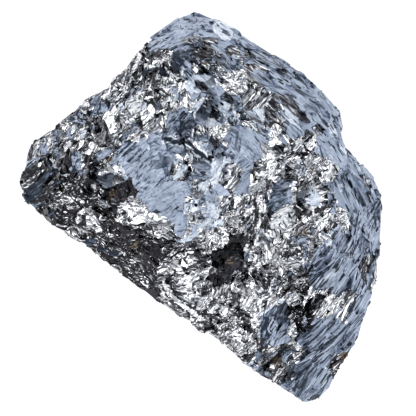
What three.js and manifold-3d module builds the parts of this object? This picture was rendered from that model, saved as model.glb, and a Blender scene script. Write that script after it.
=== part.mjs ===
// A broken lump of cast polycrystalline silicon, in millimetres, +Z up.
//
// The lump lies on a flat cleavage face. +X runs along its one straight side, the skin that
// set against the mould wall, and +Y runs across the lump, away from that side. The origin is
// the centre of the lump's box, on the surface that it rests on.
//
// It is carved as such a lump is made: a block with the lump's plan outline is split by large
// fracture slopes, then pocketed by named hollows, and last chipped all over. A chip is a
// shallow flake whose floor is a flat cleavage plane. Chips in one grain of the metal share
// that plane's tilt, so they catch the light together.

import * as THREE from 'three';
import { MeshSurfaceSampler } from 'three/addons/math/MeshSurfaceSampler.js';
import { mergeVertices } from 'three/addons/utils/BufferGeometryUtils.js';
import Module from 'manifold-3d';

const wasm = await Module();
wasm.setup();

// ---- Driving dimensions -------------------------------------------------------------------

const LENGTH = 96; // along the mould side
const WIDTH = 67; // across, from the mould side to the far edge
const HEIGHT = 40; // of the block before it is split; the lump's crest is 2 lower
const RIM_HEIGHT = 25; // where the mould side ends and the top begins
const REST_SIZE = 17; // no chip on the underside starts nearer than this to its middle

const GRAIN_SIZE = 13; // a typical crystal grain in the casting
const CHIP_SPACING = 4.4; // between the centres of neighbouring chips on the top
const SIDE_CHIP_SPACING = 8; // and on the sides and the underside
const CHIP_WIDTH = [1.5, 2.4]; // a chip's least and greatest width, in spacings
const SHALLOWEST_CHIP = 0.1;
const CHIP_WALL_LEAN = 0.9; // how far a chip's walls lean out for each millimetre of rise
const CHIP_SWING = 30; // the spread, in degrees, of the chips about their streak
const CHIP_SIDES = [4, 6]; // the fewest and the most sides of a chip's floor
const LEAN_REACH = 2.4; // a grain's lean is up to 1.2 times its style's, along each axis
const CHIP_TRIES = 6000;
const CHIP_SEED = 20;
const SMALLEST_EDGE = 0.05; // shorter edges left by the cuts are merged away

// A face counts as part of the top, or as the wall of a hollow, by how far its normal points up.
const TOP_RISE = 0.2;
const WALL_RISE = 0.35;
const FLOOR_BAND = 0.01; // faces below this height are the underside
const RIM_BAND = 3; // and those below this one are the rim around it

// The outline in plan, anticlockwise from the mould side's left end.
const OUTLINE = [
  [-43.5, -33.5], [45.0, -33.5], [48.0, -29.5], [47.8, -20.5], [46.6, -13.5], [44.8, -6.5],
  [42.4, 1.0], [39.6, 7.5], [35.4, 13.6], [31.4, 19.4], [26.0, 22.8], [18.6, 25.2],
  [14.6, 26.2], [11.4, 30.0], [7.2, 33.2], [-2.0, 33.5], [-13.5, 33.5], [-21.0, 32.4],
  [-29.0, 31.8], [-35.2, 29.8], [-38.8, 25.0], [-40.0, 18.5], [-39.4, 8.5], [-41.0, 2.5],
  [-43.0, -2.5], [-45.2, -9.5], [-46.0, -14.0], [-48.0, -19.5], [-46.4, -26.5],
];

// Slopes split the block. Each is a plane through a point; tilt is its lean from level, and
// towards is the compass direction in plan that it faces, anticlockwise from +X.
const SLOPES = [
  { name: 'mould side band', through: [0, -33.5, RIM_HEIGHT], tilt: 24, towards: -92 },
  { name: 'upper face', through: [-5, 30, 30.5], tilt: 13, towards: 86 },
  { name: 'left face', through: [-38, 2, 31], tilt: 17, towards: 168 },
  { name: 'right shoulder', through: [20, 2, 36], tilt: 17, towards: 12 },
  { name: 'right slope', through: [44, -12, 18.5], tilt: 41, towards: -10 },
  { name: 'upper right slope', through: [30, 19, 17], tilt: 41, towards: 44 },
  { name: 'far slope', through: [-8, 33.5, 20], tilt: 52, towards: 92 },
  { name: 'top left slope', through: [-37, 26, 15], tilt: 66, towards: 142 },
  { name: 'left tip', through: [-47, -25, 17], tilt: 40, towards: 212 },
  { name: 'right tip', through: [47, -31, 17], tilt: 47, towards: -38 },
];

// Undercuts, the slopes of the underside: a tilt over 90 faces down.
const UNDERCUTS = [
  { name: 'mould side skin', through: [0, -33.5, 24], tilt: 93, towards: -90 },
  { name: 'under mould side', through: [0, -32.5, 6], tilt: 141, towards: -88 },
  { name: 'under right', through: [46, -20, 8], tilt: 133, towards: -6 },
  { name: 'under upper right', through: [33, 17, 9], tilt: 130, towards: 45 },
  { name: 'under far side', through: [0, 33.5, 11], tilt: 128, towards: 91 },
  { name: 'under top left', through: [-39, 24, 8], tilt: 136, towards: 150 },
  { name: 'under left', through: [-46, -14, 11], tilt: 127, towards: 176 },
];

// Hollows are the pockets that break the slopes before the lump is chipped. at is the middle
// of the floor, size is the floor's length and width, turn swings the length in plan, deep is
// how far the walls rise from the floor, and open is how far they lean out for each
// millimetre that they rise.
const HOLLOWS = [
  {
    name: 'valley head', at: [-27, 16, 30.5], tilt: 17, towards: -60,
    turn: -45, size: [12, 7], deep: 10, open: 1.1, sides: 5,
  },
  {
    name: 'valley floor', at: [-18, 6.2, 30], tilt: 12, towards: 20,
    turn: -50, size: [14, 9], deep: 10, open: 1.0, sides: 6,
  },
  {
    name: 'valley wall', at: [-23, 4.5, 32], tilt: 47, towards: 38,
    turn: -48, size: [18, 5], deep: 8, open: 0.9, sides: 5,
  },
  {
    name: 'glint bed', at: [-14, 19, 31], tilt: 10, towards: 140,
    turn: 15, size: [15, 7], deep: 8, open: 1.4, sides: 6,
  },
  {
    name: 'crest pocket', at: [9, -16.6, 31.4], tilt: 10, towards: 70,
    turn: 35, size: [9, 6], deep: 8, open: 0.8, sides: 6,
  },
  {
    name: 'plateau', at: [-9, -8, 36.4], tilt: 4, towards: -70,
    turn: 10, size: [24, 10], deep: 5, open: 2.2, sides: 6,
  },
  {
    name: 'right pocket', at: [31.5, -16.6, 25.4], tilt: 24, towards: 150,
    turn: 76, size: [8, 4], deep: 6, open: 0.8, sides: 5,
  },
  {
    name: 'left step', at: [-38, -25.5, 25], tilt: 20, towards: 222,
    turn: -20, size: [14, 7], deep: 8, open: 1.2, sides: 6,
  },
  {
    name: 'far ledge', at: [2, 23, 30.8], tilt: 20, towards: 60,
    turn: -25, size: [20, 4], deep: 5, open: 1.2, sides: 6,
  },
  {
    name: 'upper right ledge', at: [22, 11, 29.4], tilt: 27, towards: 36,
    turn: -48, size: [17, 4], deep: 5, open: 1.2, sides: 6,
  },
];

// Slits are narrow, steep-walled gaps between crystals. They open after the lump is chipped.
const SLITS = [
  {
    name: 'dark pit', at: [-19.5, -14.2, 33.6], tilt: 24, towards: 60,
    turn: -30, size: [8, 4], deep: 8, open: 0.5, sides: 3,
  },
  {
    name: 'crest pocket step', at: [4.5, -18.5, 31], tilt: 30, towards: 20,
    turn: 80, size: [6, 3.4], deep: 6, open: 0.5, sides: 5,
  },
  {
    name: 'round pit', at: [7.2, 5.8, 35.4], tilt: 20, towards: 200,
    turn: 10, size: [5.4, 4.4], deep: 6, open: 0.5, sides: 7,
  },
  {
    name: 'groove', at: [9.8, -6.6, 35.8], tilt: 4, towards: -60,
    turn: -56, size: [19, 1.2], deep: 5, open: 0.25, sides: 6,
  },
  {
    name: 'right slit', at: [35.5, -3.6, 23.6], tilt: 30, towards: 0,
    turn: 80, size: [9, 2], deep: 5, open: 0.35, sides: 5,
  },
  {
    name: 'long slit', at: [38.4, -19.2, 18.8], tilt: 34, towards: -10,
    turn: 72, size: [12, 1.4], deep: 5, open: 0.3, sides: 6,
  },
  {
    name: 'low slit', at: [31.2, -27.0, 22.6], tilt: 30, towards: -30,
    turn: 78, size: [8, 1.8], deep: 5, open: 0.35, sides: 5,
  },
  {
    name: 'middle slit', at: [24.5, -8, 29.5], tilt: 20, towards: -20,
    turn: 74, size: [10, 1.4], deep: 5, open: 0.3, sides: 6,
  },
  {
    name: 'band flute', at: [7.4, -29.4, 26.2], tilt: 33, towards: -75,
    turn: -10, size: [17, 1.8], deep: 4, open: 0.4, sides: 7,
  },
  {
    name: 'far notch', at: [15.6, 25.8, 17], tilt: 74, towards: 63,
    turn: 0, size: [3, 12], deep: 5, open: 0.5, sides: 4,
  },
];

// Knobs are lumps of metal that stand proud of the slopes: crystals at the edge, and long
// swells that make the ridges of the top.
const KNOBS = [
  { name: 'left knob', at: [-43.2, -19.2, 16], size: [9, 9.5, 12], turn: 20 },
  { name: 'notch knob', at: [17.6, 23.6, 18], size: [5, 4, 7], turn: 40 },
  { name: 'valley ridge', at: [-28, 7.5, 31.3], size: [27, 9, 8], turn: -43 },
  { name: 'crest', at: [-15, -18.5, 30.2], size: [44, 10, 8], turn: 14 },
  { name: 'middle swell', at: [14, 3, 34.6], size: [26, 18, 7], turn: 60 },
  { name: 'right swell', at: [31, -9, 25.4], size: [26, 10, 7], turn: 78 },
];

// How the metal breaks near each of these points: streak is the direction in plan that its
// flakes run, stretch is their length over their width, lean is how far they tip, and deep is
// how much deeper than the shallowest the deepest ones reach.
const BREAKS = [
  { name: 'band', at: [-15, -27, 28], streak: 20, stretch: 1.6, lean: 20, deep: 0.8 },
  { name: 'band end', at: [18, -27, 28], streak: 35, stretch: 1.4, lean: 20, deep: 0.8 },
  { name: 'left face', at: [-34, -6, 30], streak: 88, stretch: 1.5, lean: 15, deep: 0.7 },
  { name: 'plateau', at: [-12, -9, 36], streak: 90, stretch: 1.2, lean: 7, deep: 0.4 },
  { name: 'valley', at: [-20, 9, 30], streak: -20, stretch: 1.7, lean: 14, deep: 0.7 },
  { name: 'far face', at: [-3, 24, 30], streak: 10, stretch: 1.7, lean: 9, deep: 0.5 },
  { name: 'middle', at: [13, 2, 36], streak: 75, stretch: 1.3, lean: 19, deep: 0.9 },
  { name: 'right', at: [36, -12, 22], streak: 80, stretch: 1.9, lean: 9, deep: 0.7 },
  { name: 'upper right', at: [29, 15, 22], streak: -32, stretch: 1.8, lean: 8, deep: 0.6 },
  { name: 'right tip', at: [44, -24, 15], streak: 76, stretch: 1.8, lean: 10, deep: 0.7 },
  { name: 'left tip', at: [-45, -20, 20], streak: 62, stretch: 1.6, lean: 14, deep: 0.6 },
  { name: 'left skin', at: [-30, -33.5, 13], streak: 0, stretch: 1.4, lean: 3, deep: 0.3 },
  { name: 'middle skin', at: [0, -33.5, 13], streak: 0, stretch: 1.4, lean: 3, deep: 0.3 },
  { name: 'right skin', at: [30, -33.5, 13], streak: 0, stretch: 1.4, lean: 3, deep: 0.3 },
  { name: 'underside', at: [0, 8, 0], streak: 0, stretch: 1.3, lean: 7, deep: 0.8 },
];

// ---- Tools --------------------------------------------------------------------------------

const rad = THREE.MathUtils.degToRad;
const UP = new THREE.Vector3(0, 0, 1);

// A repeatable stream of numbers from 0 to 1.
function randomStream(seed) {
  let state = seed >>> 0;
  return () => {
    state = (state + 0x6d2b79f5) >>> 0;
    let mixed = Math.imul(state ^ (state >>> 15), 1 | state);
    mixed = (mixed + Math.imul(mixed ^ (mixed >>> 7), 61 | mixed)) ^ mixed;
    return ((mixed ^ (mixed >>> 14)) >>> 0) / 4294967296;
  };
}

// A closed geometry as a solid that can be cut and joined.
function solidOf(geometry) {
  const bare = geometry.clone();
  bare.deleteAttribute('normal');
  bare.deleteAttribute('uv');
  const merged = mergeVertices(bare, 1e-4);
  return new wasm.Manifold(
    new wasm.Mesh({
      numProp: 3,
      vertProperties: merged.attributes.position.array,
      triVerts: new Uint32Array(merged.index.array),
    }),
  );
}

// A solid as a geometry with flat-shaded faces.
function geometryOf(solid) {
  const mesh = solid.getMesh();
  const geometry = new THREE.BufferGeometry();
  geometry.setAttribute('position', new THREE.BufferAttribute(mesh.vertProperties, 3));
  geometry.setIndex(new THREE.BufferAttribute(mesh.triVerts, 1));
  const flat = geometry.toNonIndexed();
  flat.computeVertexNormals();
  return flat;
}

// The direction that a plane faces when it leans by tilt towards a compass direction.
function facing(tilt, towards) {
  const flat = Math.sin(rad(tilt));
  return new THREE.Vector3(
    flat * Math.cos(rad(towards)),
    flat * Math.sin(rad(towards)),
    Math.cos(rad(tilt)),
  );
}

// Moves a tool made over the XY plane so that +Z becomes normal, +X is swung by turn in plan
// first, and its origin comes to a point.
function placed(geometry, point, normal, turn = 0) {
  const lean = new THREE.Quaternion().setFromUnitVectors(UP, normal);
  const swing = new THREE.Quaternion().setFromAxisAngle(UP, rad(turn));
  const matrix = new THREE.Matrix4().compose(
    new THREE.Vector3(...point),
    lean.multiply(swing),
    new THREE.Vector3(1, 1, 1),
  );
  return solidOf(geometry.clone().applyMatrix4(matrix));
}

// Everything above a plane, as a block that is larger than the lump.
function beyond({ through, tilt, towards }) {
  const side = 4 * LENGTH;
  const block = new THREE.BoxGeometry(side, side, side).translate(0, 0, side / 2);
  return placed(block, through, facing(tilt, towards));
}

// A flake: a many-sided floor of some length and width, under walls that lean outwards by
// open for each millimetre that they rise.
function flakeTool(length, width, deep, open, sides) {
  const mouth = (length / 2 + deep * open) / length;
  return new THREE.CylinderGeometry(mouth, 0.5, deep, sides)
    .rotateX(Math.PI / 2)
    .translate(0, 0, deep / 2)
    .scale(length, width, 1);
}

// ---- The lump -----------------------------------------------------------------------------

// The block: the outline in plan, as tall as the lump.
function block() {
  const outline = new THREE.Shape(OUTLINE.map(([x, y]) => new THREE.Vector2(x, y)));
  return solidOf(new THREE.ExtrudeGeometry(outline, { depth: HEIGHT, bevelEnabled: false }));
}

// A knob: a rough ball with 80 faces.
function knob({ at, size, turn }) {
  const ball = new THREE.IcosahedronGeometry(0.5, 1).scale(...size);
  return placed(ball, at, UP, turn);
}

// A hollow's or a slit's tool.
function hollow({ at, tilt, towards, turn, size, deep, open, sides }) {
  return placed(flakeTool(...size, deep, open, sides), at, facing(tilt, towards), turn);
}

// The block split by its slopes, with its knobs grown on and its hollows taken out.
function splitLump() {
  const walls = block().subtract(wasm.Manifold.union([...SLOPES, ...UNDERCUTS].map(beyond)));
  const grown = wasm.Manifold.union([walls, ...KNOBS.map(knob)]);
  return grown.subtract(wasm.Manifold.union(HOLLOWS.map(hollow)));
}

// The grains of the casting: each has a middle and a lean that all of its chips share.
function makeGrains(random) {
  const grains = [];
  const offCentre = () => random() - 0.5;
  const randomVector = () => new THREE.Vector3(offCentre(), offCentre(), offCentre());
  for (let x = -LENGTH / 2; x <= LENGTH / 2; x += GRAIN_SIZE) {
    for (let y = -WIDTH / 2; y <= WIDTH / 2; y += GRAIN_SIZE) {
      for (let z = 0; z <= HEIGHT; z += GRAIN_SIZE) {
        const middle = randomVector().multiplyScalar(GRAIN_SIZE).add(new THREE.Vector3(x, y, z));
        grains.push({ middle, lean: randomVector() });
      }
    }
  }
  return grains;
}

// The entry of a list that is the least distance away.
function nearest(list, distance) {
  return list.reduce((best, each) => (distance(each) < distance(best) ? each : best));
}

// Points scattered over the lump's faces, each with the face's normal and its chip's spacing.
function scatter(solid, random) {
  const sampler = new MeshSurfaceSampler(new THREE.Mesh(geometryOf(solid)));
  sampler.setRandomGenerator(random).build();
  const kept = [];
  for (let i = 0; i < CHIP_TRIES; i++) {
    const point = new THREE.Vector3();
    const normal = new THREE.Vector3();
    sampler.sample(point, normal);
    const spacing = normal.z > TOP_RISE ? CHIP_SPACING : SIDE_CHIP_SPACING;
    const free = kept.every((other) => other.point.distanceTo(point) > spacing);
    if (free) kept.push({ point, normal, spacing });
  }
  return kept;
}

// One chip's tool. Its floor tips with the grain that it lies in, and runs with the streak.
function chip({ point, normal, spacing }, grains, random) {
  const grain = nearest(grains, (g) => g.middle.distanceTo(point));
  const style = nearest(BREAKS, (b) => point.distanceTo(new THREE.Vector3(...b.at)));
  const lean = grain.lean.clone().multiplyScalar(LEAN_REACH * Math.tan(rad(style.lean)));
  const cleavage = normal.clone().add(lean).normalize();
  const width = spacing * THREE.MathUtils.lerp(...CHIP_WIDTH, random());
  const length = width * style.stretch;
  const deep = SHALLOWEST_CHIP + style.deep * random();
  const floor = point.clone().addScaledVector(normal, -deep);
  const sides = CHIP_SIDES[0] + Math.floor((CHIP_SIDES[1] + 1 - CHIP_SIDES[0]) * random());
  const swing = style.streak + CHIP_SWING * (random() - 0.5);
  const tool = flakeTool(length, width, spacing, CHIP_WALL_LEAN, sides);
  return placed(tool, floor.toArray(), cleavage, swing);
}

// The middle of the underside stays whole, as the face that the lump lies on, and so do the
// rim around it and the steep walls of the hollows.
function canChip({ point, normal }) {
  const nearRim = point.z > FLOOR_BAND && point.z < RIM_BAND;
  const resting = point.z <= FLOOR_BAND && Math.hypot(point.x, point.y) < REST_SIZE;
  const hollowWall = point.z > RIM_HEIGHT && normal.z < WALL_RISE;
  return !nearRim && !resting && !hollowWall;
}

// The split lump after its chips and slits are cut, without the crumbs that they free.
function chippedLump() {
  const random = randomStream(CHIP_SEED);
  const split = splitLump();
  const grains = makeGrains(random);
  const spots = scatter(split, random).filter(canChip);
  const chips = spots.map((spot) => chip(spot, grains, random));
  const cuts = wasm.Manifold.union([...chips, ...SLITS.map(hollow)]);
  const chipped = split.subtract(cuts).simplify(SMALLEST_EDGE);
  return chipped.decompose().reduce((a, b) => (b.volume() > a.volume() ? b : a));
}

// The lump with the middle of its box over the origin.
function centred(solid) {
  const { min, max } = solid.boundingBox();
  return solid.translate(-(min[0] + max[0]) / 2, -(min[1] + max[1]) / 2, -min[2]);
}

const silicon = new THREE.MeshStandardMaterial({
  color: new THREE.Color(0.36, 0.4, 0.48),
  roughness: 0.25,
  metalness: 0.9,
  flatShading: true,
});

const lump = new THREE.Mesh(geometryOf(centred(chippedLump())), silicon);
lump.name = 'silicon_lump';

const part = new THREE.Group();
part.name = 'silicon crystal';
part.add(lump);

export default part;
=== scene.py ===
# %% [markdown]
# # A broken lump of silicon metal
#
# Silicon metal is cast in slabs and then crushed. A lump of it is one piece of many grown-together
# crystal grains, and it breaks along flat, mirror-bright planes and along fibrous, blue-grey ones.
# The solid model has the lump's outline and its facets of 4 to 10 mm. This scene adds what is
# smaller: the flakes, the splinters, the hairline cracks and the metal's finish. The solid is read
# first, as plain lists of points and triangles. Points at one place become one point, so that
# every edge has the same two triangles beside it in all the steps that follow.

# %% Load the solid model
import itertools
import math

import bpy
import numpy as np
from mathutils import Matrix, Vector


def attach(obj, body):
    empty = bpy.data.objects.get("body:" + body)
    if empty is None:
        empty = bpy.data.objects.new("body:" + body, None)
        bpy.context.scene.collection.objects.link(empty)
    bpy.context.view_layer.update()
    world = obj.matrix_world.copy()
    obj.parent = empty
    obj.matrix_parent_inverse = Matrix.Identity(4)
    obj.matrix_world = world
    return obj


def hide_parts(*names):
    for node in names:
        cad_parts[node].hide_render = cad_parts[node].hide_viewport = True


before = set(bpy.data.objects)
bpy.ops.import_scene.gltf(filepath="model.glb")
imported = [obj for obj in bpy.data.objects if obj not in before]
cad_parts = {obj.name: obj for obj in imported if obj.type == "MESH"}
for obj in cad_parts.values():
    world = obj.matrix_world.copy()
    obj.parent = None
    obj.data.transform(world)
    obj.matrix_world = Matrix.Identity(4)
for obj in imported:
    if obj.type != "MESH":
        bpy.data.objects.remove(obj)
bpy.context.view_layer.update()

MM = 0.001
SAME_PLACE_DECIMALS = 4
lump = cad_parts["silicon_lump"]


def mesh_numbers(data, name, width, kind=float):
    """One of a mesh's fields, such as its vertices' places, as rows of numbers."""
    numbers = np.empty(len(data) * width, kind)
    data.foreach_get(name, numbers)
    return numbers.reshape(-1, width)


points = mesh_numbers(lump.data.vertices, "co", 3) / MM
triangles = mesh_numbers(lump.data.polygons, "vertices", 3, np.int32).astype(np.int64)
_, first, same = np.unique(np.round(points, SAME_PLACE_DECIMALS), axis=0,
                           return_index=True, return_inverse=True)
points, triangles = points[first], same.reshape(-1)[triangles]
print("solid lump:", len(points), "points,", len(triangles), "triangles, size in mm:",
      [round(float(c), 1) for c in np.ptp(points, axis=0)])

# %% [markdown]
# ## A finer skin
#
# The flakes need a finer mesh than the solid has. A voxel remesh would round off every crease of
# the solid, and crisp creases are what a cleaved metal is about. So long edges are cut in two, and
# each triangle is split along its cut edges: one cut makes two triangles, two make three, and three
# make four. The top gets the shortest edges, because the eye goes there.

# %% Edges of the solid
def edges_of(triangles):
    """The mesh's edges as pairs of points, and the numbers of each triangle's three edges."""
    sides = np.stack([triangles, np.roll(triangles, -1, 1)], 2).reshape(-1, 2)
    edges, number = np.unique(np.sort(sides, 1), axis=0, return_inverse=True)
    return edges, number.reshape(-1, 3)


def edge_lengths(points, edges):
    """The length of each edge."""
    return np.linalg.norm(points[edges[:, 0]] - points[edges[:, 1]], axis=1)


solid_edges = edge_lengths(points, edges_of(triangles)[0])
print("edges of the solid:", len(solid_edges), "longest in mm:", round(float(solid_edges.max()), 1))

# %% Cut edges and split triangles
def cut_edges(points, triangles, edges, number, cut, share):
    """Cut the marked edges at the given share of their length, and split the triangles there."""
    ends = points[edges[cut]]
    added = ends[:, 0] + share[cut, None] * (ends[:, 1] - ends[:, 0])
    middle = np.full(len(edges), -1)
    middle[cut] = len(points) + np.arange(cut.sum())
    pieces = [triangles[cut[number].sum(1) == 0]]
    for turn in range(3):
        a, b, c = np.roll(triangles, -turn, 1).T
        ab, bc, ca = np.roll(middle[number], -turn, 1).T
        once = (ab >= 0) & (bc < 0) & (ca < 0)
        twice = (ab >= 0) & (bc >= 0) & (ca < 0)
        splits = [(once, ((a, ab, c), (ab, b, c))),
                  (twice, ((ab, b, bc), (a, ab, bc), (a, bc, c)))]
        if turn == 0:
            thrice = (ab >= 0) & (bc >= 0) & (ca >= 0)
            splits.append((thrice, ((a, ab, ca), (ab, b, bc), (bc, c, ca), (ab, bc, ca))))
        pieces += [np.stack(part, 1)[chosen] for chosen, parts in splits for part in parts]
    return np.concatenate([points, added]), np.concatenate(pieces)


one_triangle = np.array([[0, 1, 2]])
all_cut, halfway = np.full(3, True), np.full(3, 0.5)
_, parts = cut_edges(np.eye(3), one_triangle, *edges_of(one_triangle), all_cut, halfway)
print("one triangle with three cut edges becomes:", len(parts), "triangles")

# %% Cut the long edges
TOP_EDGE = 2.0
SIDE_EDGE = 3.8
LOOKS_UP = 0.15
ROUNDS = 3


def face_normals(points, triangles):
    """Each triangle's direction, with a length of twice the triangle's area."""
    a, b, c = points[triangles].transpose(1, 0, 2)
    return np.cross(b - a, c - a)


def unit(vectors):
    """The same directions with a length of 1."""
    return vectors / np.maximum(np.linalg.norm(vectors, axis=1, keepdims=True), 1e-9)


for _ in range(ROUNDS):
    edges, number = edges_of(triangles)
    rise = unit(face_normals(points, triangles))[:, 2]
    highest = np.full(len(edges), -1.0)
    for side in range(3):
        np.maximum.at(highest, number[:, side], rise)
    long = edge_lengths(points, edges) > np.where(highest > LOOKS_UP, TOP_EDGE, SIDE_EDGE)
    points, triangles = cut_edges(points, triangles, edges, number, long, np.full(len(edges), 0.5))
print("fine skin:", len(triangles), "triangles")

# %% [markdown]
# ## Random numbers without a list
#
# Grains and flakes are both cells: each point of space belongs to its nearest seed. The seeds
# sit one to a box of a grid, each at a random place in its box, so a point only has to look at the
# 27 boxes around it. A list of seeds would have to cover the whole lump. A hash makes the random
# place from the box's own numbers, so the same cell gets the same numbers at every run.

# %% Hashed chances
MIXERS = np.array([0x7FEB352D, 0x846CA68B], np.uint32)
SALT_STEP = 977
COLUMN_STEP = 131


def mixed(numbers):
    """Whole numbers stirred until they look random. The same number always gives the same result."""
    numbers = (numbers ^ (numbers >> 16)) * MIXERS[0]
    numbers = (numbers ^ (numbers >> 15)) * MIXERS[1]
    return numbers ^ (numbers >> 16)


def chances(codes, count, salt=0):
    """Random numbers from 0 to 1 for each code: count of them."""
    columns = [mixed(codes + np.uint32(SALT_STEP * (salt + 1) + COLUMN_STEP * k)) for k in range(count)]
    return np.stack(columns, 1) / 2.0 ** 32


some_chances = chances(np.arange(1000, dtype=np.uint32), 1)
print("mean of 1000 chances:", round(float(some_chances.mean()), 2))

# %% Crystals around every point
AXIS_FACTORS = np.array([73856093, 19349663, 83492791], np.uint32)


def crystals(points, salt):
    """The code and the seed of the cell that each point lies in. Cells are about 1 unit across."""
    box = np.floor(points).astype(np.int64)
    nearest = np.full(len(points), np.inf)
    codes = np.zeros(len(points), np.uint32)
    seeds = np.zeros_like(points)
    for step in itertools.product((-1, 0, 1), repeat=3):
        x, y, z = ((box + step).astype(np.uint32) * AXIS_FACTORS).T
        code = mixed(x ^ mixed(y ^ mixed(z + np.uint32(salt))))
        seed = box + step + chances(code, 3)
        gap = ((points - seed) ** 2).sum(1)
        closer = gap < nearest
        nearest[closer] = gap[closer]
        codes[closer] = code[closer]
        seeds[closer] = seed[closer]
    return codes, seeds


print("cells of 1 cm that the lump meets:", len(np.unique(crystals(points / 10, salt=1)[0])))

# %% [markdown]
# ## Smooth waves
#
# Nothing in a casting runs quite straight, so the borders of the cells have to wander. Noise from a
# library could bend them, but a few sine waves in random directions do the same, give the same
# result everywhere, and their longest wave can be set in millimetres.

# %% Smooth waves
WAVES = 7
WAVE_SPREAD = (0.7, 1.4)


def ripple(points, wavelength, salt):
    """Smooth random directions, mostly between -1 and 1 along each axis."""
    random = np.random.default_rng(salt)
    total = np.zeros_like(points)
    for _ in range(WAVES):
        direction = random.normal(size=3)
        direction *= 2 * math.pi / wavelength / np.linalg.norm(direction) * random.uniform(*WAVE_SPREAD)
        wave = np.sin(points @ direction + random.uniform(0, 2 * math.pi))
        total += wave[:, None] * random.normal(size=3)
    return total / math.sqrt(WAVES)


waves = ripple(points, wavelength=8, salt=11)
print("waves reach from", round(float(waves.min()), 1), "to", round(float(waves.max()), 1))
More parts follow.
